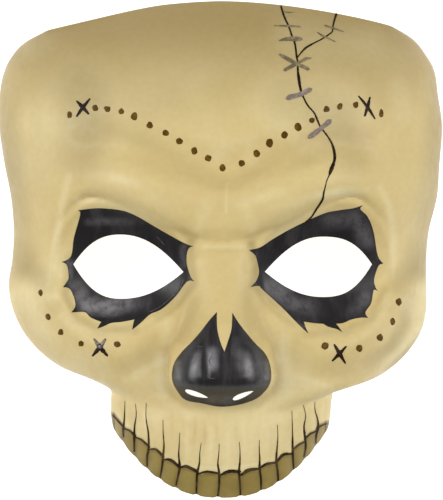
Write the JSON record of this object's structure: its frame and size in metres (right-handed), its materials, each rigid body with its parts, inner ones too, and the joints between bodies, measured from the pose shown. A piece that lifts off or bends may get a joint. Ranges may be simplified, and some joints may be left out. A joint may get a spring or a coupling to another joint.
{
  "type": "skull face mask",
  "caption": "Moulded face mask shaped as a scowling skull, open behind, with eye holes, nostril slits and a row of painted upper teeth; it lies face up on its side rims.",
  "frame": {"origin": "on the floor, under the middle of the mask's outline, with the mask lying face up", "axes": "+X to the right of someone looking at the face, +Y up the face towards the forehead, +Z out of the face"},
  "size_m": [0.1703, 0.185, 0.0777],
  "materials": {
    "bone_paint": "airbrushed satin bone paint on moulded plastic, with an olive wash over the teeth",
    "black_paint": "brushed semi-gloss black paint",
    "brown_paint": "brown paint dabbed on by hand",
    "stitch_paint": "mauve grey paint, brushed strokes"
  },
  "bodies": {
    "root": {"mask_shell": "bone_paint"}
  },
  "joints": []
}
